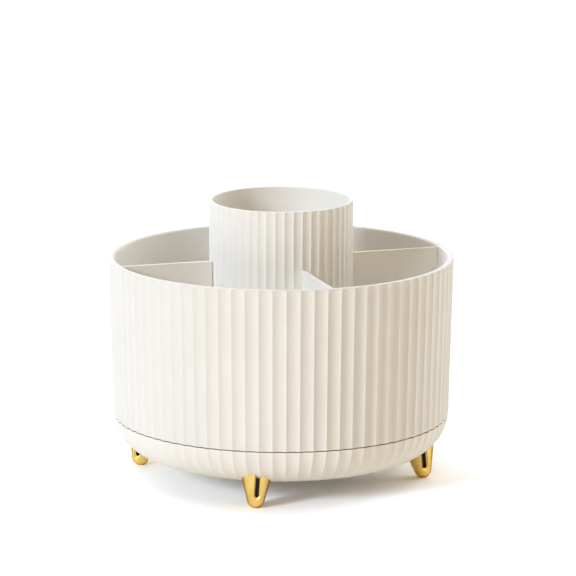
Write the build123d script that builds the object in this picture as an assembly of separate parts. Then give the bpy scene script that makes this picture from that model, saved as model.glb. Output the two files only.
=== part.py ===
from build123d import *
import os
from math import asin, cos, radians, sin, sqrt, tan

# Rotating brush holder: a fluted barrel with dividers and a middle cup turns on a fluted bowl with four feet.
# The origin is on the floor below the axis of rotation, +Z is up, and the front foot points along -Y.

# General
full_turn = 360.0
right_angle = 90.0
cut_overrun = 2.0
seat_clearance = 0.05
screw_hole_clearance = 0.1

# Barrel, the turning tub: its arrises lie on a cone that narrows downwards
barrel_rim_radius = 100.0
barrel_rim_height = 128.5
barrel_draft = 1.5
barrel_wall = 3.0
barrel_floor_thickness = 2.65
barrel_inner_fillet = 3.0
barrel_flute_count = 80
barrel_flute_depth = 0.7
rim_round = 1.1
rim_round_steps = 3
rest_turn = 27.5

# Split between the turning barrel and the standing bowl
split_height = 35.25
split_gap = 0.7
skirt_depth = 2.7
skirt_wall = 2.0
skirt_clearance = 0.8

# Bowl of the base
bowl_underside_height = 12.9
bowl_corner_radius = 25.7
bowl_wall = 3.3
bowl_sections = 9
bowl_flute_turn = 0.5

# Feet: turned cones with round tips, splayed outwards, each with upright bevelled slots
foot_places = {"front": -90.0, "right": 0.0, "back": 90.0, "left": 180.0}
foot_slot_turns = {"front": 17.0, "right": -62.0, "back": 0.0, "left": 73.0}
foot_outset = 11.6
foot_tip_radius = 5.0
foot_flat_depth = 0.4
foot_half_angle = 14.5
foot_splay = 10.0
foot_length = 20.0
foot_slot_count = 3
foot_slot_width = 2.2
foot_slot_depth = 3.3
foot_slot_bevel = 1.2
foot_slot_end = 1.9

# Foot screws and the bosses they pass through, placed along each foot's own axis from its tip centre
foot_boss_radius = 5.0
foot_boss_top = 17.5
foot_screw_radius = 1.5
foot_screw_length = 12.5
foot_screw_head_radius = 2.8
foot_screw_head_height = 2.0

# Ball thrust bearing between bowl and barrel
ball_radius = 3.0
ball_count = 20
ball_clearance = 0.05
groove_depth = 1.0
race_edge_inset = 1.05
race_width = 17.0
race_groove_inset = 11.0
race_thickness = 2.4
race_rib_wall = 2.0
race_rib_depth = 4.0
race_screw_count = 4
race_screw_inset = 5.0
race_screw_boss_radius = 3.6
race_screw_radius = 1.3
race_screw_length = 7.0
race_screw_head_radius = 2.4
race_screw_head_height = 1.3
cage_inner_width = 4.5
cage_outer_width = 3.5
cage_thickness = 1.8
cage_pocket_clearance = 0.2

# Spindle, its boss and nut in the bowl
spindle_radius = 4.0
spindle_flange_radius = 8.0
spindle_flange_thickness = 2.0
spindle_thread_radius = 3.0
spindle_boss_radius = 12.0
spindle_boss_height = 7.0
spindle_socket_depth = 9.0
nut_sides = 6
nut_flat_to_flat = 10.0
nut_thickness = 5.0
nut_recess = 0.6
nut_pocket_clearance = 0.2

# Hub of the barrel, its bush, and the washer and screw that hold it on the spindle
hub_radius = 10.0
hub_flange_clearance = 0.8
hub_rise = 2.0
bush_wall = 2.0
bush_running_clearance = 0.05
bush_flange_radius = 8.0
bush_flange_thickness = 1.2
washer_play = 0.3
washer_radius = 7.0
washer_thickness = 1.0
retaining_screw_radius = 2.0
retaining_screw_length = 7.0
retaining_screw_head_radius = 4.0
retaining_screw_head_height = 2.4

# Cross recess of the screws, as shares of the screw's head
recess_length_share = 1.1
recess_width_share = 0.22
recess_depth_share = 0.6

# Cup that lifts out of the barrel's middle
cup_rim_radius = 41.7
cup_rim_height = 161.5
cup_draft = 0.25
cup_wall = 1.6
cup_floor_rise = 9.0
cup_floor_thickness = 2.2
cup_flute_count = 50
cup_flute_depth = 0.47
cup_rim_round = 0.7
cup_seat_clearance = 0.4
cup_seat_ring_wall = 2.2
cup_seat_ring_height = 5.0

# Dividers and the channels that hold them in the barrel
divider_names = ["right", "back", "left", "front"]
divider_thickness = 1.8
divider_top_drop = 0.8
divider_edge_round = 0.5
divider_cup_gap = 0.5
divider_channel_clearance = 0.15
channel_wall = 1.5
channel_floor_height = 3.5
channel_rail_depth = 3.0
channel_rail_bite = 1.0
channel_rail_drop = 12.0

# Heights and radii that follow from the sizes above
split_radius = barrel_rim_radius - tan(radians(barrel_draft)) * (barrel_rim_height - split_height)
bowl_rim_height = split_height - split_gap / 2
barrel_bottom = split_height + split_gap / 2
barrel_floor_top = barrel_bottom + barrel_floor_thickness
bowl_centre_height = bowl_underside_height + bowl_corner_radius
bowl_split_drop = bowl_centre_height - split_height
bowl_centre_radius = split_radius - sqrt(bowl_corner_radius**2 - bowl_split_drop**2)
bowl_inner_radius = bowl_corner_radius - bowl_wall
bowl_floor_top = bowl_underside_height + bowl_wall
foot_circle_radius = bowl_centre_radius + foot_outset
race_outer_radius = bowl_centre_radius - race_edge_inset
race_inner_radius = race_outer_radius - race_width
ball_pitch_radius = race_outer_radius - race_groove_inset
race_screw_circle = race_outer_radius - race_screw_inset
upper_race_top = barrel_bottom - race_rib_depth
upper_race_bottom = upper_race_top - race_thickness
ball_to_race = ball_radius + ball_clearance - groove_depth
ball_centre_height = upper_race_bottom - ball_to_race
lower_race_top = ball_centre_height - ball_to_race
lower_race_bottom = lower_race_top - race_thickness
spindle_boss_top = bowl_floor_top + spindle_boss_height
spindle_flange_top = spindle_boss_top + spindle_flange_thickness
hub_bottom = spindle_flange_top + hub_flange_clearance
hub_top = barrel_floor_top + hub_rise
bush_inner_radius = spindle_radius + bush_running_clearance
bush_outer_radius = bush_inner_radius + bush_wall
bush_top = hub_top + bush_flange_thickness
spindle_top = bush_top + washer_play
washer_top = spindle_top + washer_thickness
nut_top = bowl_underside_height + nut_recess + nut_thickness
foot_tip_height = foot_tip_radius - foot_flat_depth
cup_underside = barrel_floor_top + cup_floor_rise
cup_floor_top = cup_underside + cup_floor_thickness
divider_top = barrel_rim_height - divider_top_drop
divider_inner_radius = cup_rim_radius + divider_cup_gap
channel_gap = divider_thickness / 2 + divider_channel_clearance


def polar(radius, angle):
    return (radius * cos(radians(angle)), radius * sin(radians(angle)))


def around(count):
    return [Rot(0, 0, full_turn * i / count) for i in range(count)]


def ring(outer_radius, inner_radius, bottom, top):
    return Pos(0, 0, bottom) * extrude(Circle(outer_radius) - Circle(inner_radius), top - bottom)


def post(radius, bottom, top):
    return Pos(0, 0, bottom) * extrude(Circle(radius), top - bottom)


def turned(*lines):
    outline = [edge for line in lines for edge in (Plane.XZ * line).edges()]
    return revolve(make_face(outline), Axis.Z)


def valley_radius(arris_radius, count, depth):
    return arris_radius * cos(radians(full_turn / count / 2)) - depth


def flute_face(arris_radius, height, count, depth):
    # One concave arc for each flute, meeting at sharp arrises, the first flute centred on +X
    pitch = full_turn / count
    valley = valley_radius(arris_radius, count, depth)
    arcs = []
    for i in range(count):
        start = polar(arris_radius, (i - 0.5) * pitch)
        middle = polar(valley, i * pitch)
        end = polar(arris_radius, (i + 0.5) * pitch)
        arcs.append(ThreePointArc(start, middle, end))
    return Pos(0, 0, height) * make_face(arcs)


def fluted_tub(rim_radius, rim_height, bottom, draft, count, depth, edge_round):
    # Drafted fluted body whose upper edge is rounded in a few steps
    slope = tan(radians(draft))
    sections = [(rim_radius - slope * (rim_height - bottom), bottom)]
    for step in range(rim_round_steps + 1):
        turn = radians(right_angle * step / rim_round_steps)
        height = rim_height - edge_round * (1 - sin(turn))
        sections.append((rim_radius - slope * (rim_height - height) - edge_round * (1 - cos(turn)), height))
    return loft([flute_face(r, z, count, depth) for r, z in sections], ruled=True)


def cross_recess(head_radius, head_height, top):
    length = head_radius * recess_length_share
    width = head_radius * recess_width_share
    depth = head_height * recess_depth_share
    arm = Pos(0, 0, top - depth / 2 + cut_overrun / 2) * Box(length, width, depth + cut_overrun)
    return arm + Rot(0, 0, right_angle) * arm


def pan_screw(radius, length, head_radius, head_height):
    # The head stands on the seat at height 0, and the shank runs down from it
    head = post(head_radius, 0, head_height)
    head = fillet(head.edges().group_by(Axis.Z)[-1], head_height / 2)
    return head + post(radius, -length, 0) - cross_recess(head_radius, head_height, head_height)


def flat_screw(radius, length, head_radius, head_height):
    # Countersunk screw whose head is flush with height 0
    head = Pos(0, 0, -head_height / 2) * Cone(radius, head_radius, head_height)
    return head + post(radius, -length, -head_height) - cross_recess(head_radius, head_height, 0)


def barrel_inner_radius(height):
    rim = valley_radius(barrel_rim_radius, barrel_flute_count, barrel_flute_depth) - barrel_wall
    return rim - tan(radians(barrel_draft)) * (barrel_rim_height - height)


def cup_inner_radius(height):
    rim = valley_radius(cup_rim_radius, cup_flute_count, cup_flute_depth) - cup_wall
    return rim - tan(radians(cup_draft)) * (cup_rim_height - height)


def foot_place(name):
    # From the foot's own frame, with its tip centre at the origin and its axis along +Z
    return Rot(0, 0, foot_places[name]) * Pos(foot_circle_radius, 0, foot_tip_height) * Rot(0, -foot_splay, 0)


def bearing_ribs(bottom, top):
    # Two round ribs and the screw bosses that carry one bearing race
    ribs = ring(race_inner_radius + race_rib_wall, race_inner_radius, bottom, top)
    ribs += ring(race_outer_radius, race_outer_radius - race_rib_wall, bottom, top)
    for turn in around(race_screw_count):
        ribs += turn * Pos(race_screw_circle, 0, 0) * post(race_screw_boss_radius, bottom, top)
    return ribs


def facing(side):
    # Turns a piece built facing up so that it faces down when the side is negative
    return Rot(0, 0, 0) if side > 0 else Rot(2 * right_angle, 0, 0)


def race_screw_holes(face, side):
    hole = facing(side) * post(race_screw_radius + seat_clearance, -race_screw_length, 0)
    return [turn * Pos(race_screw_circle, 0, face) * hole for turn in around(race_screw_count)]


def bowl_outer():
    # Filled outer form: flutes that follow the corner arc and draw together under the bowl
    sections = []
    first = asin((bowl_centre_height - bowl_rim_height) / bowl_corner_radius)
    last = radians(right_angle)
    for i in range(bowl_sections):
        turn = first + (last - first) * i / (bowl_sections - 1)
        radius = bowl_centre_radius + bowl_corner_radius * cos(turn)
        height = bowl_centre_height - bowl_corner_radius * sin(turn)
        depth = barrel_flute_depth * radius / barrel_rim_radius
        sections.append(flute_face(radius, height, barrel_flute_count, depth))
    return loft(sections)


def bowl_inner():
    # Space inside the bowl, turned from the same arc centre
    first = asin((bowl_centre_height - bowl_rim_height) / bowl_inner_radius)
    middle = (first + radians(right_angle)) / 2
    rim = (bowl_centre_radius + bowl_inner_radius * cos(first), bowl_rim_height)
    bend = (
        bowl_centre_radius + bowl_inner_radius * cos(middle),
        bowl_centre_height - bowl_inner_radius * sin(middle),
    )
    foot = (bowl_centre_radius, bowl_floor_top)
    over = bowl_rim_height + cut_overrun
    return turned(
        ThreePointArc(rim, bend, foot),
        Polyline(foot, (0, bowl_floor_top), (0, over), (rim[0], over), rim),
    )


def make_base_shell(outer):
    shell = outer - bowl_inner()
    shell += bearing_ribs(bowl_floor_top, lower_race_bottom)
    shell += post(spindle_boss_radius, bowl_floor_top, spindle_boss_top)
    for name in foot_places:
        boss = post(foot_boss_radius, 0, foot_boss_top)
        shell += foot_place(name) * boss & outer
    shell -= race_screw_holes(lower_race_top, 1)
    shell -= post(spindle_thread_radius + seat_clearance, bowl_underside_height, spindle_boss_top)
    pocket = RegularPolygon(nut_flat_to_flat / 2 + nut_pocket_clearance, nut_sides, major_radius=False)
    shell -= Pos(0, 0, bowl_underside_height) * extrude(pocket, nut_top - bowl_underside_height)
    for name in foot_places:
        hole = post(foot_screw_radius + screw_hole_clearance, 0, foot_boss_top)
        shell -= foot_place(name) * hole
    return shell


def foot_slot():
    # Bevelled slot with a round end, cut along the cone's surface on the +X side
    half = foot_slot_width / 2
    wide = half + foot_slot_bevel
    edge = Polyline(
        (0, -foot_slot_depth),
        (half, -foot_slot_depth),
        (half, -foot_slot_bevel),
        (wide, 0),
        (wide, cut_overrun),
        (0, cut_overrun),
        close=True,
    )
    side = make_face(edge)
    cutter = extrude(side + mirror(side, Plane.YZ), foot_length) + revolve(side, Axis.Y)
    tilt = radians(foot_half_angle)
    surface_radius = foot_tip_radius / cos(tilt) + foot_slot_end * tan(tilt)
    along_cone = Rot(0, foot_half_angle, 0) * Rot(0, 0, -right_angle)
    return Pos(surface_radius, 0, foot_slot_end) * along_cone * cutter


def make_foot(name, outer):
    tilt = radians(foot_half_angle)
    tangent = (foot_tip_radius * cos(tilt), -foot_tip_radius * sin(tilt))
    half_turn = (tilt + radians(right_angle)) / 2
    bend = (foot_tip_radius * cos(half_turn), -foot_tip_radius * sin(half_turn))
    tip = (0, -foot_tip_radius)
    top_radius = foot_tip_radius / cos(tilt) + foot_length * tan(tilt)
    foot = turned(
        ThreePointArc(tip, bend, tangent),
        Polyline(tangent, (top_radius, foot_length), (0, foot_length), tip),
    )
    for turn in around(foot_slot_count):
        foot -= turn * foot_slot()
    foot = Rot(0, 0, foot_slot_turns[name]) * foot
    foot -= post(foot_screw_radius + seat_clearance, foot_boss_top - foot_screw_length, foot_length)
    foot = split(foot_place(name) * foot, Plane.XY, keep=Keep.TOP)
    return foot - outer


def make_foot_screws():
    screw = Pos(0, 0, foot_boss_top) * pan_screw(
        foot_screw_radius, foot_screw_length, foot_screw_head_radius, foot_screw_head_height
    )
    return Compound(children=[foot_place(name) * screw for name in foot_places])


def make_race(bottom, side):
    race = ring(race_outer_radius, race_inner_radius, bottom, bottom + race_thickness)
    race -= Pos(0, 0, ball_centre_height) * Torus(ball_pitch_radius, ball_radius + ball_clearance)
    face = bottom + race_thickness if side > 0 else bottom
    sink = post(race_screw_radius + seat_clearance, -race_thickness, 0)
    sink += Pos(0, 0, -race_screw_head_height / 2) * Cone(
        race_screw_radius + seat_clearance, race_screw_head_radius + seat_clearance, race_screw_head_height
    )
    for turn in around(race_screw_count):
        race -= turn * Pos(race_screw_circle, 0, face) * facing(side) * sink
    return race


def make_race_screws(face, side, rest):
    screw = flat_screw(race_screw_radius, race_screw_length, race_screw_head_radius, race_screw_head_height)
    screw = Pos(race_screw_circle, 0, face) * facing(side) * screw
    return Compound(children=[rest * turn * screw for turn in around(race_screw_count)])


def make_ball_cage():
    outer = ball_pitch_radius + cage_outer_width
    inner = ball_pitch_radius - cage_inner_width
    cage = ring(outer, inner, -cage_thickness / 2, cage_thickness / 2)
    pocket = post(ball_radius + cage_pocket_clearance, -cage_thickness, cage_thickness)
    cage -= [turn * Pos(ball_pitch_radius, 0, 0) * pocket for turn in around(ball_count)]
    return Pos(0, 0, ball_centre_height) * cage


def make_bearing_balls():
    ball = Pos(ball_pitch_radius, 0, ball_centre_height) * Sphere(ball_radius)
    return Compound(children=[turn * ball for turn in around(ball_count)])


def make_spindle():
    spindle = post(spindle_thread_radius, nut_top - nut_thickness, spindle_boss_top)
    spindle += post(spindle_flange_radius, spindle_boss_top, spindle_flange_top)
    spindle += post(spindle_radius, spindle_flange_top, spindle_top)
    socket_bottom = spindle_top - spindle_socket_depth
    return spindle - post(retaining_screw_radius + seat_clearance, socket_bottom, spindle_top)


def make_spindle_nut():
    nut = extrude(RegularPolygon(nut_flat_to_flat / 2, nut_sides, major_radius=False), nut_thickness)
    nut -= post(spindle_thread_radius + seat_clearance, 0, nut_thickness)
    return Pos(0, 0, nut_top - nut_thickness) * nut


def make_hub_bush():
    bush = ring(bush_outer_radius - seat_clearance, bush_inner_radius, hub_bottom, hub_top)
    return bush + ring(bush_flange_radius, bush_inner_radius, hub_top, bush_top)


def make_retaining_washer():
    return ring(washer_radius, retaining_screw_radius + screw_hole_clearance, spindle_top, washer_top)


def make_retaining_screw():
    return Pos(0, 0, washer_top) * pan_screw(
        retaining_screw_radius,
        retaining_screw_length,
        retaining_screw_head_radius,
        retaining_screw_head_height,
    )


def barrel_inner():
    # Space inside the barrel, with a filleted floor and the inner half of the rounded rim
    corner = barrel_inner_radius(barrel_floor_top)
    bend = barrel_inner_fillet * (1 - cos(radians(right_angle / 2)))
    rim = barrel_inner_radius(barrel_rim_height)
    lip = rim_round * (1 - cos(radians(right_angle / 2)))
    fillet_top = barrel_floor_top + barrel_inner_fillet
    wall_foot = (barrel_inner_radius(fillet_top), fillet_top)
    floor_edge = (corner - barrel_inner_fillet, barrel_floor_top)
    lip_foot = (barrel_inner_radius(barrel_rim_height - rim_round), barrel_rim_height - rim_round)
    lip_top = (rim + rim_round, barrel_rim_height)
    over = barrel_rim_height + cut_overrun
    return turned(
        ThreePointArc(floor_edge, (corner - bend, barrel_floor_top + bend), wall_foot),
        Line(wall_foot, lip_foot),
        ThreePointArc(lip_foot, (rim + lip, barrel_rim_height - lip), lip_top),
        Polyline(lip_top, (lip_top[0], over), (0, over), (0, barrel_floor_top), floor_edge),
    )


def divider_channel():
    # Floor ribs and wall rails that hold one divider on the +X side
    inner = barrel_inner_radius(barrel_floor_top)
    floor_rib = make_face(Polyline(
        (divider_inner_radius, barrel_floor_top),
        (inner, barrel_floor_top),
        (inner, barrel_floor_top + channel_floor_height),
        (divider_inner_radius, barrel_floor_top + channel_floor_height),
        close=True,
    ))
    rail_top = barrel_rim_height - channel_rail_drop
    rail = make_face(Polyline(
        (inner - channel_rail_depth, barrel_floor_top),
        (inner + channel_rail_bite, barrel_floor_top),
        (barrel_inner_radius(rail_top) + channel_rail_bite, rail_top),
        (barrel_inner_radius(rail_top) - channel_rail_depth, rail_top),
        close=True,
    ))
    side = extrude(Plane.XZ * (floor_rib + rail), -channel_wall)
    side = Pos(0, channel_gap, 0) * side
    return side + mirror(side, Plane.XZ)


def make_barrel():
    barrel = fluted_tub(
        barrel_rim_radius, barrel_rim_height, barrel_bottom, barrel_draft,
        barrel_flute_count, barrel_flute_depth, rim_round,
    )
    barrel -= barrel_inner()
    skirt_radius = bowl_centre_radius + sqrt(
        bowl_inner_radius**2 - (bowl_centre_height - barrel_bottom + skirt_depth)**2
    ) - skirt_clearance
    barrel += ring(skirt_radius, skirt_radius - skirt_wall, barrel_bottom - skirt_depth, barrel_bottom)
    barrel += bearing_ribs(upper_race_top, barrel_bottom)
    barrel += post(hub_radius, hub_bottom, hub_top)
    seat_radius = cup_inner_radius(barrel_floor_top) - cup_seat_clearance
    seat_top = barrel_floor_top + cup_seat_ring_height
    barrel += ring(seat_radius, seat_radius - cup_seat_ring_wall, barrel_floor_top, seat_top)
    for turn in around(len(divider_names)):
        barrel += turn * divider_channel()
    barrel -= post(bush_outer_radius, hub_bottom, hub_top)
    barrel -= race_screw_holes(upper_race_bottom, -1)
    return barrel


def make_divider():
    # Flat panel on the +X side, between the cup and the drafted wall of the barrel
    bottom = barrel_floor_top
    gap = divider_channel_clearance
    chamfer_top = bottom + barrel_inner_fillet
    panel = extrude(Plane.XZ * make_face(Polyline(
        (divider_inner_radius, bottom),
        (barrel_inner_radius(bottom) - barrel_inner_fillet - gap, bottom),
        (barrel_inner_radius(chamfer_top) - gap, chamfer_top),
        (barrel_inner_radius(divider_top) - gap, divider_top),
        (divider_inner_radius, divider_top),
        close=True,
    )), divider_thickness / 2, both=True)
    top_edges = panel.edges().group_by(Axis.Z)[-1].filter_by(Axis.X)
    return fillet(top_edges, divider_edge_round)


def make_cup():
    cup = fluted_tub(
        cup_rim_radius, cup_rim_height, barrel_floor_top, cup_draft,
        cup_flute_count, cup_flute_depth, cup_rim_round,
    )
    rim = cup_inner_radius(cup_rim_height)
    lip = cup_rim_round * (1 - cos(radians(right_angle / 2)))
    lip_foot = (cup_inner_radius(cup_rim_height - cup_rim_round), cup_rim_height - cup_rim_round)
    lip_top = (rim + cup_rim_round, cup_rim_height)
    floor_edge = (cup_inner_radius(cup_floor_top), cup_floor_top)
    over = cup_rim_height + cut_overrun
    cup -= turned(
        Line(floor_edge, lip_foot),
        ThreePointArc(lip_foot, (rim + lip, cup_rim_height - lip), lip_top),
        Polyline(lip_top, (lip_top[0], over), (0, over), (0, cup_floor_top), floor_edge),
    )
    below = barrel_floor_top - cut_overrun
    return cup - turned(Polyline(
        (0, below),
        (cup_inner_radius(below), below),
        (cup_inner_radius(cup_underside), cup_underside),
        (0, cup_underside),
        close=True,
    ))


bowl_form = Rot(0, 0, bowl_flute_turn) * bowl_outer()
turned_rest = Rot(0, 0, rest_turn)

parts = {"base_shell": make_base_shell(bowl_form)}
for name in foot_places:
    parts["foot_" + name] = make_foot(name, bowl_form)
parts["foot_screws"] = make_foot_screws()
parts["lower_race"] = make_race(lower_race_bottom, 1)
parts["lower_race_screws"] = make_race_screws(lower_race_top, 1, Rot(0, 0, 0))
parts["spindle"] = make_spindle()
parts["spindle_nut"] = make_spindle_nut()
parts["ball_cage"] = make_ball_cage()
parts["bearing_balls"] = make_bearing_balls()
parts["upper_race"] = turned_rest * make_race(upper_race_bottom, -1)
parts["upper_race_screws"] = make_race_screws(upper_race_bottom, -1, turned_rest)
parts["hub_bush"] = make_hub_bush()
parts["retaining_washer"] = make_retaining_washer()
parts["retaining_screw"] = make_retaining_screw()
parts["barrel"] = turned_rest * make_barrel()
for name, turn in zip(divider_names, around(len(divider_names))):
    parts["divider_" + name] = turned_rest * turn * make_divider()
parts["cup"] = turned_rest * make_cup()

os.makedirs("parts", exist_ok=True)
for name, solid in parts.items():
    export_step(solid, os.path.join("parts", name + ".step"))
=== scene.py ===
import math

import bmesh
import bpy
import numpy as np
from mathutils import Matrix, Vector


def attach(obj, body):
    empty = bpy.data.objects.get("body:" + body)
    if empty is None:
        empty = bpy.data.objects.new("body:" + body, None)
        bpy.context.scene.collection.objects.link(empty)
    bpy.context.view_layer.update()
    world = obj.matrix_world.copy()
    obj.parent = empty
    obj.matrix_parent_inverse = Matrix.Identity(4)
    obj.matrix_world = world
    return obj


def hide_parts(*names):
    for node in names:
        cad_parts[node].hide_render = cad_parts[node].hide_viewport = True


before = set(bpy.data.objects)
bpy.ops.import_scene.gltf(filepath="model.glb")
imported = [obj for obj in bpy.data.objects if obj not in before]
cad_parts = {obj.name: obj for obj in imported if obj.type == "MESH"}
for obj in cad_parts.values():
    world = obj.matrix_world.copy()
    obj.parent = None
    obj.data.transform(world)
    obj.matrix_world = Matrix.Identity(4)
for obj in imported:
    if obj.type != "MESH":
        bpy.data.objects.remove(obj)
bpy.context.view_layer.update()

# Base bowl: the standing lower part of the holder, a shallow fluted bowl moulded in ivory ABS.
# The flutes follow its rounded corner and draw together below, where a hexagon pocket takes the
# spindle's nut. Two ribs and the bosses inside carry the bearing ring and the screws of the feet.
mm = 0.001
flute_count = 80
bowl_flute_share = 0.007
bowl_flute_turn = 27.1
arris_soft_share = 0.001
bowl_rim = 35.0
bowl_underside = 12.9
bowl_floor = 16.2
bowl_wall = 3.3
corner_radius = 25.7
corner_centre = (72.077, 38.6)
underside_rings = (corner_centre[0] - 1.6, 40.0, 12.0)
split_edge = 0.35
edge_in, edge_up = 0.3, 0.25
# Degrees of the bowl's corner between the split's edge, which has a painted highlight, and the
# flutes.
highlight_turn = 1.5
gap_shade = 0.25
nut_pocket_half = 5.2
nut_pocket_top = 18.5
spindle_bore = 3.05
spindle_boss = 12.0
spindle_boss_top = 23.2
bearing_ribs = ((54.03, 56.03), (69.03, 71.03))
lower_rib_top = 22.7
screw_circle = 66.03
screw_hole = 1.35
screw_boss = 3.6
root_depth = 0.3
foot_circle = 83.677
foot_tip_height = 4.6
foot_splay = 10.0
foot_turns = {"front": -90.0, "right": 0.0, "back": 90.0, "left": 180.0}
foot_screw_hole = 1.6
foot_boss = 5.0
foot_boss_top = 17.5
foot_boss_height = 2.0
boss_columns = 32
crease_angle = 38.0
ivory_deep = (0.845, 0.826, 0.772)
ivory_pale = (0.868, 0.852, 0.804)
ivory_speck = (0.80, 0.775, 0.71)
# Paler ivory on the arrises and the split's edges: a painted highlight.
ivory_painted_highlight = (0.905, 0.90, 0.88)
# Dark brown inside the split between barrel and bowl: painted shade.
split_painted_shade = (0.42, 0.24, 0.09)


def flute_line(count, depth_share, soft_share, turn):
    """Angles, insets as shares of the radius and painted highlight tones of a ring of concave
    flutes.
    """
    half_pitch = math.pi / count
    half_chord = math.sin(half_pitch)
    sweep = (half_chord**2 + depth_share**2) / (2 * depth_share)
    near = np.array([0.0, 0.02, 0.06, 0.16, 0.36, 0.66])
    from_arris = np.concatenate([near, [1.0], near[:0:-1]])
    lateral = half_chord * np.concatenate([near - 1, [0.0], 1 - near[:0:-1]])
    across = half_chord - np.hypot(from_arris * half_chord, soft_share)
    outward = math.cos(half_pitch) - depth_share + sweep - np.sqrt(sweep**2 - across**2)
    starts = math.radians(turn) + 2 * half_pitch * np.arange(count)[:, None]
    angles = (starts + np.arctan2(lateral, outward)).ravel()
    insets = np.tile(1 - np.hypot(lateral, outward), count)
    # The tones rise to 1 at each arris, where the ivory gets a painted highlight.
    tones = np.tile((1 - from_arris) ** 3, count)
    return angles, insets, tones


def fluted_ring(flutes, radius, height, fluted=1.0):
    """One ring of points; fluted goes from 0, a plain circle, to 1, the full flutes."""
    angles, insets, tones = flutes
    out = radius * (1 - fluted * insets)
    heights = np.full_like(angles, height)
    points = np.stack([out * np.cos(angles), out * np.sin(angles), heights], 1)
    return points, tones * fluted


def gap_ring(flutes, radius, height, fluted=1.0):
    """A ring inside the split, where the plastic is darkened with painted shade."""
    points, tones = fluted_ring(flutes, radius, height, fluted)
    return points, np.full_like(tones, -1.0)


def highlight_ring(flutes, radius, height):
    """A ring on an edge of the split, paler with a painted highlight."""
    points, tones = fluted_ring(flutes, radius, height)
    return points, np.ones_like(tones)


def skinned(rings, closed=True):
    """Points, faces and tones of a skin over rings; an open one gets a fan at each end."""
    rows = len(rings)
    columns = len(rings[0][0])
    points = np.concatenate([ring[0] for ring in rings])
    tones = np.concatenate([ring[1] for ring in rings])
    row = np.arange(rows if closed else rows - 1)[:, None] * columns
    below = (row + columns) % (rows * columns)
    column = np.arange(columns)[None]
    after = (column + 1) % columns
    quads = np.stack([row + column, row + after, below + after, below + column])
    faces = quads.reshape(4, -1).T.tolist()
    if not closed:
        for first in (0, (rows - 1) * columns):
            middle = points[first:first + columns].mean(0)
            hub = len(points)
            faces += [[first + j, first + (j + 1) % columns, hub] for j in range(columns)]
            points = np.vstack([points, middle])
            tones = np.append(tones, 0.0)
    return points, faces, tones


def boss(hole, radius, root, top, place):
    """A turned boss with a screw hole, set in place."""
    angles = np.linspace(0, 2 * math.pi, boss_columns, endpoint=False)
    rings = []
    for out, height in ((hole, root), (radius, root), (radius, top), (hole, top)):
        heights = np.full_like(angles, height)
        ring = np.stack([out * np.cos(angles), out * np.sin(angles), heights], 1)
        ring = ring @ np.array(place.to_3x3()).T + np.array(place.translation)
        rings.append((ring, np.zeros(boss_columns)))
    return skinned(rings)


def moulding(name, forms, body, material, replaced):
    """A piece made of closed forms in millimetres, which rides on a body and stands for a node."""
    points, faces, tones = [], [], []
    for form_points, form_faces, form_tones in forms:
        start = sum(len(p) for p in points)
        points.append(form_points)
        faces += [[start + i for i in face] for face in form_faces]
        tones.append(form_tones)
    mesh = bpy.data.meshes.new(name)
    mesh.from_pydata((np.concatenate(points) * mm).tolist(), [], faces)
    work = bmesh.new()
    work.from_mesh(mesh)
    bmesh.ops.recalc_face_normals(work, faces=work.faces)
    work.to_mesh(mesh)
    work.free()
    # Tones per point: 1 for painted highlight on arrises and split edges, -1 for painted shade in
    # the split.
    painted_light_tone = mesh.attributes.new("painted_light_tone", "FLOAT", "POINT")
    painted_light_tone.data.foreach_set("value", np.concatenate(tones))
    mesh.polygons.foreach_set("use_smooth", [True] * len(mesh.polygons))
    mesh.set_sharp_from_angle(angle=math.radians(crease_angle))
    mesh.materials.append(material)
    piece = bpy.data.objects.new(name, mesh)
    bpy.context.scene.collection.objects.link(piece)
    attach(piece, body)
    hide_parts(replaced)


def arc(centre, radius, first, last, steps):
    """Points of an arc in the plane of radius and height, in degrees below the horizontal."""
    turns = np.radians(np.linspace(first, last, steps))
    return [(centre[0] + radius * math.cos(t), centre[1] - radius * math.sin(t)) for t in turns]


def noise(tree, coordinates, scale, detail, roughness=0.5):
    """Cloudy values round a half, finer with a larger scale."""
    node = tree.nodes.new("ShaderNodeTexNoise")
    node.inputs["Scale"].default_value = scale
    node.inputs["Detail"].default_value = detail
    node.inputs["Roughness"].default_value = roughness
    tree.links.new(coordinates, node.inputs["Vector"])
    return node.outputs["Fac"]


def spread(tree, value, low, high, to_low, to_high):
    """A value between low and high, eased over to another range."""
    node = tree.nodes.new("ShaderNodeMapRange")
    node.interpolation_type = "SMOOTHSTEP"
    limits = {"From Min": low, "From Max": high, "To Min": to_low, "To Max": to_high}
    for name, number in limits.items():
        node.inputs[name].default_value = number
    tree.links.new(value, node.inputs["Value"])
    return node.outputs["Result"]


def blend_colours(tree, share, first, second):
    """From the first colour to the second as the share goes from 0 to 1."""
    node = tree.nodes.new("ShaderNodeMix")
    node.data_type = "RGBA"
    tree.links.new(share, node.inputs["Factor"])
    for colour, socket in ((first, node.inputs[6]), (second, node.inputs[7])):
        if isinstance(colour, tuple):
            socket.default_value = (*colour, 1)
        else:
            tree.links.new(colour, socket)
    return node.outputs[2]


def bump(tree, height, strength, distance, under=None):
    """Small relief of the surface, over another one where it is given."""
    node = tree.nodes.new("ShaderNodeBump")
    node.inputs["Strength"].default_value = strength
    node.inputs["Distance"].default_value = distance
    tree.links.new(height, node.inputs["Height"])
    if under is not None:
        tree.links.new(under, node.inputs["Normal"])
    return node.outputs["Normal"]


def new_finish(name):
    """A new material with its tree, its shader and coordinates that stay with the piece."""
    material = bpy.data.materials.new(name)
    material.use_nodes = True
    tree = material.node_tree
    place = tree.nodes.new("ShaderNodeTexCoord").outputs["Object"]
    return material, tree, tree.nodes["Principled BSDF"], place


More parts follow.
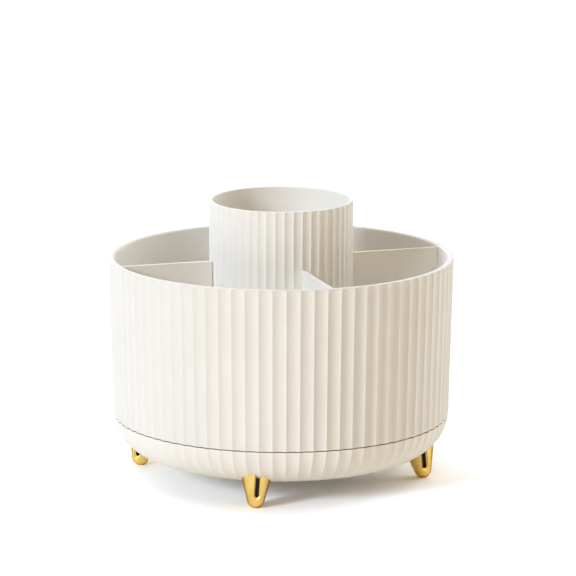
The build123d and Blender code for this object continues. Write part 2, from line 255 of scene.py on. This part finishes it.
def ivory_plastic(name, painted_light_gain):
    """Satin ivory ABS: grain, clouds, painted edge highlight, painted split shade, painted light
    gain.
    """
    material, tree, shader, place = new_finish(name)
    clouds = noise(tree, place, 22, 4)
    specks = noise(tree, place, 700, 3, 0.6)
    grain = noise(tree, place, 2600, 2, 0.6)
    edge = tree.nodes.new("ShaderNodeAttribute")
    edge.attribute_name = "painted_light_tone"
    tone = edge.outputs["Fac"]
    # Every colour is scaled by the piece's painted light gain, which lightens or darkens it in
    # place of light.
    deep, pale, speck, highlight_colour = (
        tuple(painted_light_gain * c for c in colour)
        for colour in (ivory_deep, ivory_pale, ivory_speck, ivory_painted_highlight)
    )
    body = blend_colours(tree, spread(tree, clouds, 0.35, 0.65, 0, 1), deep, pale)
    body = blend_colours(tree, spread(tree, specks, 0.62, 0.74, 0, 0.25), body, speck)
    # Arrises and split edges turn paler as painted highlight, the split's inside dark brown as
    # painted shade.
    body = blend_colours(tree, spread(tree, tone, 0.55, 1.0, 0, 0.7), body, highlight_colour)
    body = blend_colours(tree, spread(tree, tone, -1.0, -0.1, 1, 0), body, split_painted_shade)
    tree.links.new(body, shader.inputs["Base Color"])
    tree.links.new(spread(tree, specks, 0.3, 0.7, 0.40, 0.52), shader.inputs["Roughness"])
    ripple = bump(tree, clouds, 0.10, 0.0004)
    tree.links.new(bump(tree, grain, 0.25, 0.00005, ripple), shader.inputs["Normal"])
    shader.inputs["IOR"].default_value = 1.5
    return material


# The bowl's ivory is raised by a painted light gain.
bowl_ivory = ivory_plastic("ivory_plastic_bowl", 1.05)
bowl_flutes = flute_line(flute_count, bowl_flute_share, arris_soft_share, bowl_flute_turn)
rim_drop = corner_centre[1] - bowl_rim
rim_turn = math.degrees(math.asin((rim_drop + split_edge) / corner_radius))
rim_edge = arc(corner_centre, corner_radius, rim_turn, rim_turn, 1)[0]
outer_arc = arc(corner_centre, corner_radius, rim_turn + highlight_turn, 90, 16)
inner_turn = math.degrees(math.asin(rim_drop / (corner_radius - bowl_wall)))
inner_arc = arc(corner_centre, corner_radius - bowl_wall, 90, inner_turn, 12)
# Inside the split the ring takes painted shade, and the split's rounded edge a painted highlight.
bowl_rings = [
    gap_ring(bowl_flutes, rim_edge[0] - split_edge - gap_shade, bowl_rim),
    highlight_ring(bowl_flutes, rim_edge[0] - split_edge, bowl_rim),
    highlight_ring(bowl_flutes, rim_edge[0] - split_edge * edge_in, bowl_rim - split_edge * edge_up),
    highlight_ring(bowl_flutes, *rim_edge),
]
bowl_rings += [fluted_ring(bowl_flutes, r, z) for r, z in outer_arc]
bowl_rings += [fluted_ring(bowl_flutes, r, bowl_underside, 0) for r in underside_rings]
angles = bowl_flutes[0]
pocket_out = nut_pocket_half / np.cos((np.degrees(angles) % 60 - 30) / 180 * math.pi)
for height in (bowl_underside, nut_pocket_top):
    heights = np.full_like(angles, height)
    pocket = np.stack([pocket_out * np.cos(angles), pocket_out * np.sin(angles), heights], 1)
    bowl_rings.append((pocket, np.zeros_like(angles)))
bowl_inside = [
    (spindle_bore, nut_pocket_top), (spindle_bore, spindle_boss_top),
    (spindle_boss, spindle_boss_top), (spindle_boss, bowl_floor),
]
for inner, outer in bearing_ribs:
    bowl_inside += [(inner, bowl_floor), (inner, lower_rib_top)]
    bowl_inside += [(outer, lower_rib_top), (outer, bowl_floor)]
bowl_rings += [fluted_ring(bowl_flutes, r, z, 0) for r, z in bowl_inside + inner_arc]
# The bowl rim's inner edge, inside the split, takes painted shade.
bowl_rings.append(gap_ring(bowl_flutes, inner_arc[-1][0] + gap_shade, bowl_rim, 0))
bowl_forms = [skinned(bowl_rings)]
for turn in range(4):
    spot = Matrix.Rotation(math.radians(90 * turn), 4, "Z")
    spot = spot @ Matrix.Translation((screw_circle, 0, 0))
    bowl_forms.append(boss(screw_hole, screw_boss, bowl_floor - root_depth, lower_rib_top, spot))
foot_places = {}
for name, turn in foot_turns.items():
    foot_places[name] = (
        Matrix.Rotation(math.radians(turn), 4, "Z")
        @ Matrix.Translation((foot_circle, 0, foot_tip_height))
        @ Matrix.Rotation(math.radians(-foot_splay), 4, "Y")
    )
    foot_boss_root = foot_boss_top - foot_boss_height
    points, faces, tones = boss(
        foot_screw_hole, foot_boss, foot_boss_root, foot_boss_top, foot_places[name]
    )
    roots = points[:2 * boss_columns]
    middle = corner_radius - bowl_wall / 2
    reach = np.maximum(np.hypot(roots[:, 0], roots[:, 1]) - corner_centre[0], 0)
    roots[:, 2] = np.minimum(roots[:, 2], corner_centre[1] - np.sqrt(middle**2 - reach**2))
    bowl_forms.append((points, faces, tones))
moulding("base_bowl", bowl_forms, "base", bowl_ivory, "base_shell")

# Feet: four tapered die-cast feet with round tips and bevelled upright slots, splayed outwards.
# They are plated in yellow gold, polished outside and satin on the bevels, with the slots lined
# near-black as painted shade, and each is drawn up against the bowl by one screw.
foot_tip_radius = 5.0
foot_taper = math.radians(14.5)
bevel_start = 0.1
bevel_depth = 1.25
gold_full = (0.84, 0.61, 0.20)
gold_thin = (0.78, 0.54, 0.15)
gold_rim = (0.30, 0.08, 0.02)
# Near-black lining of the feet's slots: painted shade in the recesses.
slot_shade_deep = (0.012, 0.008, 0.006)
slot_shade_pale = (0.03, 0.019, 0.012)


def gold_plate(name, smooth, rough):
    """Gold plate: faint polishing lines, redder where it is thin, brown at a flat slant."""
    material, tree, shader, place = new_finish(name)
    stretch = tree.nodes.new("ShaderNodeMapping")
    stretch.inputs["Scale"].default_value = (1.0, 1.0, 0.15)
    tree.links.new(place, stretch.inputs["Vector"])
    lines = noise(tree, stretch.outputs["Vector"], 2500, 2, 0.5)
    waves = noise(tree, place, 160, 3)
    tint = blend_colours(tree, spread(tree, waves, 0.35, 0.7, 0, 1), gold_full, gold_thin)
    tree.links.new(tint, shader.inputs["Base Color"])
    tree.links.new(spread(tree, lines, 0.3, 0.7, smooth, rough), shader.inputs["Roughness"])
    polish = bump(tree, lines, 0.08, 0.00002)
    tree.links.new(bump(tree, waves, 0.15, 0.0003, polish), shader.inputs["Normal"])
    shader.inputs["Metallic"].default_value = 1.0
    shader.inputs["Specular Tint"].default_value = (*gold_rim, 1)
    return material


def slot_painted_shade(name):
    """Black-brown painted shade, matt and a little uneven, that lines the slots of the feet."""
    material, tree, shader, place = new_finish(name)
    uneven = noise(tree, place, 900, 3, 0.6)
    tint = blend_colours(tree, spread(tree, uneven, 0.3, 0.7, 0, 1), slot_shade_deep, slot_shade_pale)
    tree.links.new(tint, shader.inputs["Base Color"])
    tree.links.new(spread(tree, uneven, 0.3, 0.7, 0.55, 0.75), shader.inputs["Roughness"])
    tree.links.new(bump(tree, uneven, 0.3, 0.00005), shader.inputs["Normal"])
    return material


def finished_node(name, *finishes):
    """The mesh of a node of the frame, with these finishes and the first one all over."""
    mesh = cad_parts[name].data
    mesh.materials.clear()
    for finish in finishes:
        mesh.materials.append(finish)
    return mesh


foot_gold = gold_plate("gold_plate_feet", 0.06, 0.12)
foot_satin = gold_plate("gold_plate_bevels", 0.30, 0.38)
foot_slot_shade = slot_painted_shade("painted_shade_slots")
for name in foot_turns:
    mesh = finished_node("foot_" + name, foot_gold, foot_satin, foot_slot_shade)
    to_foot = foot_places[name].inverted()
    for face in mesh.polygons:
        spot = to_foot @ (face.center / mm)
        cone = foot_tip_radius / math.cos(foot_taper) + spot.z * math.tan(foot_taper)
        sunk = (cone - math.hypot(spot.x, spot.y)) * math.cos(foot_taper)
        if spot.z > -foot_tip_radius * math.sin(foot_taper):
            # The faces sunk deepest, the slot's walls and floor, take the painted shade lining.
            face.material_index = int(sunk > bevel_start) + int(sunk > bevel_depth)

# Bearing and fixings: zinc-plated steel screws, two pressed steel rings with a rolled groove,
# hardened balls, and a turned spindle with its nut, washer and screw. They are bought in and
# screwed together.
steel_deepening = 0.82


def plated_steel(name, colour, streaks):
    """Zinc-plated steel with turning or rolling streaks and a faint bluish clouding."""
    material, tree, shader, place = new_finish(name)
    stretch = tree.nodes.new("ShaderNodeMapping")
    stretch.inputs["Scale"].default_value = streaks
    tree.links.new(place, stretch.inputs["Vector"])
    lines = noise(tree, stretch.outputs["Vector"], 1800, 3, 0.6)
    clouds = noise(tree, place, 240, 3)
    deeper = tuple(c * steel_deepening for c in colour)
    tint = blend_colours(tree, spread(tree, clouds, 0.3, 0.7, 0, 1), colour, deeper)
    tree.links.new(tint, shader.inputs["Base Color"])
    tree.links.new(spread(tree, lines, 0.3, 0.7, 0.22, 0.40), shader.inputs["Roughness"])
    tree.links.new(bump(tree, lines, 0.2, 0.00003), shader.inputs["Normal"])
    shader.inputs["Metallic"].default_value = 1.0
    return material


ring_steel = plated_steel("steel_bearing_rings", (0.58, 0.58, 0.60), (1.0, 1.0, 0.1))
turned_steel = plated_steel("steel_turned", (0.62, 0.62, 0.63), (0.1, 0.1, 1.0))
ball_steel = plated_steel("steel_balls", (0.70, 0.70, 0.72), (1.0, 1.0, 1.0))
screw_steel = plated_steel("steel_screws", (0.63, 0.64, 0.66), (0.1, 0.1, 1.0))
steel_nodes = {
    "lower_race": ring_steel, "upper_race": ring_steel, "bearing_balls": ball_steel,
    "spindle": turned_steel, "spindle_nut": turned_steel, "retaining_washer": turned_steel,
    "foot_screws": screw_steel, "lower_race_screws": screw_steel,
    "upper_race_screws": screw_steel, "retaining_screw": screw_steel,
}
for name, finish in steel_nodes.items():
    finished_node(name, finish)

# Ball cage and hub bush: moulded in white acetal, which runs dry. The cage keeps the balls apart,
# and the flanged bush is pressed into the barrel's hub and turns on the spindle.
acetal_deep = (0.80, 0.80, 0.77)
acetal_pale = (0.86, 0.86, 0.84)


def white_acetal(name):
    """Waxy white acetal with faint flow marks from moulding."""
    material, tree, shader, place = new_finish(name)
    flow = noise(tree, place, 120, 4, 0.55)
    grain = noise(tree, place, 2200, 2)
    tint = blend_colours(tree, spread(tree, flow, 0.35, 0.65, 0, 1), acetal_deep, acetal_pale)
    tree.links.new(tint, shader.inputs["Base Color"])
    tree.links.new(spread(tree, flow, 0.3, 0.7, 0.32, 0.42), shader.inputs["Roughness"])
    tree.links.new(bump(tree, grain, 0.15, 0.00003), shader.inputs["Normal"])
    return material


bearing_acetal = white_acetal("white_acetal_bearing")
for name in ("ball_cage", "hub_bush"):
    finished_node(name, bearing_acetal)

# Barrel: the turning tub, moulded in the same ivory ABS with drafted flutes and a rounded rim.
# Below its floor are the hub, two ribs for the bearing ring and a skirt that dips into the bowl.
# Inside, a low ring centres the cup, and channels on floor and wall take the dividers.
rim_radius = 100.0
rim_height = 128.5
rim_round = 1.1
rim_turns = np.radians(np.linspace(12, 90, 7))
lip_turns = np.radians(np.linspace(90, 0, 7))
inner_rim_radius = 96.224
below_lip = 4.0
wall_slope = math.tan(math.radians(1.5))
barrel_flute_share = 0.009
barrel_flute_turn = 27.2
barrel_bottom = 35.5
barrel_floor = 38.25
floor_rings = (70.0, 50.0)
inner_fillet = 3.0
seat_inner, seat_outer, seat_top = 36.41, 38.61, 43.25
hub_bore, hub_radius = 6.05, 10.0
hub_bottom, hub_top = 26.0, 40.25
upper_rib_bottom = 31.6
skirt_inner, skirt_outer, skirt_bottom = 90.94, 92.94, 32.9
divider_turn = 27.5
channel_gap = 1.05
channel_wall = 1.5
channel_start = 42.2
channel_floor_top = 41.75
rail_top = 116.5
rail_depth = 3.0
rail_root = 1.0


def outer_radius(height):
    """Radius of the barrel's arrises at a height."""
    return rim_radius - wall_slope * (rim_height - height)


def inner_radius(height):
    """Radius of the barrel's inner wall at a height."""
    return inner_rim_radius - wall_slope * (rim_height - height)


def extruded(outline, first, last, place):
    """A flat plate: an outline of radius and height, pulled sideways and set in place."""
    count = len(outline)
    points = np.array([(x, y, z) for y in (first, last) for x, z in outline])
    points = points @ np.array(place.to_3x3()).T + np.array(place.translation)
    faces = [list(range(count)), list(range(2 * count - 1, count - 1, -1))]
    faces += [[i, (i + 1) % count, count + (i + 1) % count, count + i] for i in range(count)]
    return points, faces, np.zeros(2 * count)


# The barrel's ivory is lowered a little by a painted light gain.
barrel_ivory = ivory_plastic("ivory_plastic_barrel", 0.985)
barrel_flutes = flute_line(flute_count, barrel_flute_share, arris_soft_share, barrel_flute_turn)
edge = outer_radius(barrel_bottom)
# Inside the split the ring takes painted shade, and the split's rounded edge a painted highlight.
barrel_rings = [
    gap_ring(barrel_flutes, edge - split_edge - gap_shade, barrel_bottom),
    highlight_ring(barrel_flutes, edge - split_edge, barrel_bottom),
    highlight_ring(barrel_flutes, edge - split_edge * edge_in, barrel_bottom + split_edge * edge_up),
    highlight_ring(barrel_flutes, edge, barrel_bottom + split_edge),
]
wall_top = rim_height - rim_round
for height in np.linspace(barrel_bottom + 3 * split_edge, wall_top, 6):
    barrel_rings.append(fluted_ring(barrel_flutes, outer_radius(height), height))
for turn in rim_turns:
    out = outer_radius(wall_top) - rim_round * (1 - math.cos(turn))
    height = wall_top + rim_round * math.sin(turn)
    barrel_rings.append(fluted_ring(barrel_flutes, out, height, math.cos(turn) ** 2))
for turn in lip_turns:
    out = inner_rim_radius + rim_round * (1 - math.cos(turn))
    barrel_rings.append(fluted_ring(barrel_flutes, out, wall_top + rim_round * math.sin(turn), 0))
fillet_top = barrel_floor + inner_fillet
fillet_centre = (inner_radius(fillet_top) - inner_fillet, fillet_top)
wall = [(inner_radius(z), z) for z in np.linspace(wall_top - below_lip, fillet_top, 4)]
floor = arc(fillet_centre, inner_fillet, 15, 90, 6) + [(r, barrel_floor) for r in floor_rings]
seat = [
    (seat_outer, barrel_floor), (seat_outer, seat_top),
    (seat_inner, seat_top), (seat_inner, barrel_floor),
]
hub = [
    (hub_radius, barrel_floor), (hub_radius, hub_top), (hub_bore, hub_top),
    (hub_bore, hub_bottom), (hub_radius, hub_bottom), (hub_radius, barrel_bottom),
]
below = []
for inner, outer in bearing_ribs:
    below += [(inner, barrel_bottom), (inner, upper_rib_bottom)]
    below += [(outer, upper_rib_bottom), (outer, barrel_bottom)]
below += [(skirt_inner, barrel_bottom), (skirt_inner, skirt_bottom)]
below += [(skirt_outer, skirt_bottom), (skirt_outer, barrel_bottom)]
for radius, height in wall + floor + seat + hub + below:
    barrel_rings.append(fluted_ring(barrel_flutes, radius, height, 0))
# The skirt's edge, inside the split, takes painted shade.
barrel_rings.append(gap_ring(barrel_flutes, skirt_outer + gap_shade, barrel_bottom, 0))
barrel_forms = [skinned(barrel_rings)]
floor_end = inner_radius(barrel_floor)
rail_end = inner_radius(rail_top)
channel_root = barrel_floor - root_depth
rib_outline = [
    (channel_start, channel_root), (floor_end, channel_root),
    (floor_end, channel_floor_top), (channel_start, channel_floor_top),
]
rail_outline = [
    (floor_end - rail_depth, channel_root), (floor_end + rail_root, channel_root),
    (rail_end + rail_root, rail_top), (rail_end - rail_depth, rail_top),
]
channel_outside = channel_gap + channel_wall
for turn in range(4):
    spin = Matrix.Rotation(math.radians(divider_turn + 90 * turn), 4, "Z")
    for side in (-1, 1):
        for outline in (rib_outline, rail_outline):
            plate = extruded(outline, side * channel_gap, side * channel_outside, spin)
            barrel_forms.append(plate)
    spot = spin @ Matrix.Translation((screw_circle, 0, 0))
    boss_root = barrel_bottom + root_depth
    barrel_forms.append(boss(screw_hole, screw_boss, boss_root, upper_rib_bottom, spot))
moulding("barrel_tub", barrel_forms, "rotor", barrel_ivory, "barrel")

# Dividers: four flat ivory panels with softened top edges, pushed down into the barrel's channels.
# They are cut from moulded sheet, so they show the same satin grain on both faces.
# The dividers' ivory is raised by a painted light gain, in place of light in the barrel's shaded
# inside.
divider_ivory = ivory_plastic("ivory_plastic_dividers", 1.08)
for name in ("front", "right", "back", "left"):
    finished_node("divider_" + name, divider_ivory)

# Cup: the tall middle cup, a loose ivory moulding with finer flutes and a thin rounded rim.
# It stands on the barrel's floor round the centring ring and lifts straight out.
cup_flute_count = 50
cup_flute_share = 0.013
cup_flute_turn = 26.75
cup_rim_radius = 41.7
cup_rim_height = 161.5
cup_rim_round = 0.7
cup_inner_rim = 39.548
cup_slope = math.tan(math.radians(0.25))
cup_floor = 49.45
cup_underside = 47.25
cup_bottom_edge = 0.3
cup_inner_fillet = 1.2
cup_middle_ring = 12.0
cup_floor_ring = 30.0
cup_wall_start = 20.0
cup_below_lip = 3.0


def cup_outer(height):
    """Radius of the cup's arrises at a height."""
    return cup_rim_radius - cup_slope * (cup_rim_height - height)


def cup_inner(height):
    """Radius of the cup's inner wall at a height."""
    return cup_inner_rim - cup_slope * (cup_rim_height - height)


# The cup's ivory is raised by a painted light gain, in place of light it gets too little of.
cup_ivory = ivory_plastic("ivory_plastic_cup", 1.07)
cup_flutes = flute_line(cup_flute_count, cup_flute_share, arris_soft_share * 2, cup_flute_turn)
cup_top = cup_rim_height - cup_rim_round
cup_fillet_top = cup_floor + cup_inner_fillet
cup_corner = (cup_inner(cup_fillet_top) - cup_inner_fillet, cup_fillet_top)
cup_lines = [(cup_middle_ring, cup_floor), (cup_floor_ring, cup_floor)]
cup_lines += arc(cup_corner, cup_inner_fillet, 90, 0, 6)
for height in np.linspace(cup_floor + cup_wall_start, cup_top - cup_below_lip, 4):
    cup_lines.append((cup_inner(height), height))
cup_rings = [fluted_ring(cup_flutes, r, z, 0) for r, z in cup_lines]
for turn in lip_turns[::-1]:
    out = cup_inner_rim + cup_rim_round * (1 - math.cos(turn))
    cup_rings.append(fluted_ring(cup_flutes, out, cup_top + cup_rim_round * math.sin(turn), 0))
for turn in rim_turns[::-1]:
    out = cup_outer(cup_top) - cup_rim_round * (1 - math.cos(turn))
    height = cup_top + cup_rim_round * math.sin(turn)
    cup_rings.append(fluted_ring(cup_flutes, out, height, math.cos(turn) ** 2))
for height in np.linspace(cup_top, barrel_floor + cup_bottom_edge, 6):
    cup_rings.append(fluted_ring(cup_flutes, cup_outer(height), height))
cup_foot = cup_outer(barrel_floor)
cup_bend = (cup_foot - cup_bottom_edge * edge_in, barrel_floor + cup_bottom_edge * edge_up)
cup_rings.append(fluted_ring(cup_flutes, *cup_bend))
cup_rings.append(fluted_ring(cup_flutes, cup_foot - cup_bottom_edge, barrel_floor))
cup_rings.append(fluted_ring(cup_flutes, cup_inner(barrel_floor), barrel_floor, 0))
for radius in (cup_inner(cup_underside), cup_middle_ring):
    cup_rings.append(fluted_ring(cup_flutes, radius, cup_underside, 0))
cup_form = skinned(cup_rings, closed=False)
moulding("cup_tall", [cup_form], "cup", cup_ivory, "cup")

# Studio: a plain white paper floor that keeps the holder's shadow and is clear from below, in a dim
# warm room that looks white. A cool soft light stands at the left, two broad ones behind and one
# above, and a weak warm one in front fills the holder's shaded side without reaching the floor.
floor_reach = 12.0
paper_bounce = (1.0, 0.94, 0.82)
paper_seen = (1.4, 1.42, 1.45)
room_dim = (0.09, 0.034, 0.003)
room_seen = (1.0, 1.0, 1.0)
camera_turn = 9.7


def seen_or_mirrored(tree):
    """One where the camera sees it straight, in gloss or through glass, nought where it lights."""
    path = tree.nodes.new("ShaderNodeLightPath")
    share = path.outputs["Is Camera Ray"]
    for name in ("Is Glossy Ray", "Is Transmission Ray"):
        either = tree.nodes.new("ShaderNodeMath")
        either.operation = "MAXIMUM"
        tree.links.new(share, either.inputs[0])
        tree.links.new(path.outputs[name], either.inputs[1])
        share = either.outputs["Value"]
    return share


floor_mesh = bpy.data.meshes.new("studio_floor")
corners = [(x * floor_reach, y * floor_reach, 0) for x, y in ((-1, -1), (1, -1), (1, 1), (-1, 1))]
floor_mesh.from_pydata(corners, [], [(0, 1, 2, 3)])
studio_floor = bpy.data.objects.new("studio_floor", floor_mesh)
bpy.context.scene.collection.objects.link(studio_floor)
floor_paper = bpy.data.materials.new("floor_paper")
floor_paper.use_nodes = True
tree = floor_paper.node_tree
tree.nodes.remove(tree.nodes["Principled BSDF"])
matt = tree.nodes.new("ShaderNodeBsdfDiffuse")
paper = blend_colours(tree, seen_or_mirrored(tree), paper_bounce, paper_seen)
tree.links.new(paper, matt.inputs["Color"])
clear = tree.nodes.new("ShaderNodeBsdfTransparent")
one_sided = tree.nodes.new("ShaderNodeMixShader")
from_below = tree.nodes.new("ShaderNodeNewGeometry").outputs["Backfacing"]
tree.links.new(from_below, one_sided.inputs["Fac"])
tree.links.new(matt.outputs["BSDF"], one_sided.inputs[1])
tree.links.new(clear.outputs["BSDF"], one_sided.inputs[2])
tree.links.new(one_sided.outputs["Shader"], tree.nodes["Material Output"].inputs["Surface"])
floor_mesh.materials.append(floor_paper)

holder_only = bpy.data.collections.new("holder_only")
holder_only.objects.link(studio_floor)
holder_only.collection_objects[0].light_linking.link_state = "EXCLUDE"
# Name, degrees round from the camera, degrees up, width in degrees, strength, colour, lit pieces
lights = [
    ("light_left", -50.0, 22.0, 16.0, 2.14, (0.76, 0.86, 1.0), None),
    ("light_back_left", -150.0, 25.0, 60.0, 1.40, (0.86, 0.92, 1.0), None),
    ("light_back_right", 128.0, 20.0, 60.0, 1.85, (0.97, 0.985, 1.0), None),
    ("light_above", 0.0, 85.0, 60.0, 0.90, (0.90, 0.96, 1.0), None),
    ("fill_front", 15.0, 20.0, 80.0, 0.53, (1.0, 0.72, 0.22), holder_only),
]
for name, azimuth, elevation, width, strength, colour, lit in lights:
    lamp = bpy.data.lights.new(name, "SUN")
    lamp.angle = math.radians(width)
    lamp.energy = strength
    lamp.color = colour
    sun = bpy.data.objects.new(name, lamp)
    bpy.context.scene.collection.objects.link(sun)
    a, e = math.radians(azimuth + camera_turn), math.radians(elevation)
    towards = Vector((math.sin(a) * math.cos(e), -math.cos(a) * math.cos(e), math.sin(e)))
    sun.rotation_euler = towards.to_track_quat("Z", "Y").to_euler()
    sun.light_linking.receiver_collection = lit

room = bpy.data.worlds.new("room")
bpy.context.scene.world = room
room.use_nodes = True
tree = room.node_tree
backdrop = blend_colours(tree, seen_or_mirrored(tree), room_dim, room_seen)
tree.links.new(backdrop, tree.nodes["Background"].inputs["Color"])

# Camera: a long lens in front of the holder, a little above it and turned slightly to the right
# of the front foot. Reach and height are in metres, the sensor in millimetres, tilts in radians.
focal_pixels = 3947.5
picture_pixels = 576
sensor_width = 36.0
camera_reach = 2.2378
camera_height = 0.5808
pitch, yaw, roll = 0.2078, -0.0018, 0.0019
far_limit = 100.0
right = Vector((math.cos(yaw), math.sin(yaw), 0))
level = Vector((-math.sin(yaw), math.cos(yaw), 0))
ahead = level * math.cos(pitch) - Vector((0, 0, math.sin(pitch)))
above = level * math.sin(pitch) + Vector((0, 0, math.cos(pitch)))
across = right * math.cos(roll) + above * math.sin(roll)
upward = above * math.cos(roll) - right * math.sin(roll)
stand = Matrix.Rotation(math.radians(camera_turn), 4, "Z")
axes = Matrix((across, upward, -ahead)).transposed().to_4x4()
camera_data = bpy.data.cameras.new("photo_camera")
camera_data.sensor_width = sensor_width
camera_data.lens = focal_pixels / picture_pixels * sensor_width
camera_data.clip_end = far_limit
camera = bpy.data.objects.new("photo_camera", camera_data)
bpy.context.scene.collection.objects.link(camera)
camera.matrix_world = stand @ Matrix.Translation((0, -camera_reach, camera_height)) @ axes
bpy.context.scene.camera = camera
bpy.context.scene.view_settings.view_transform = "Standard"
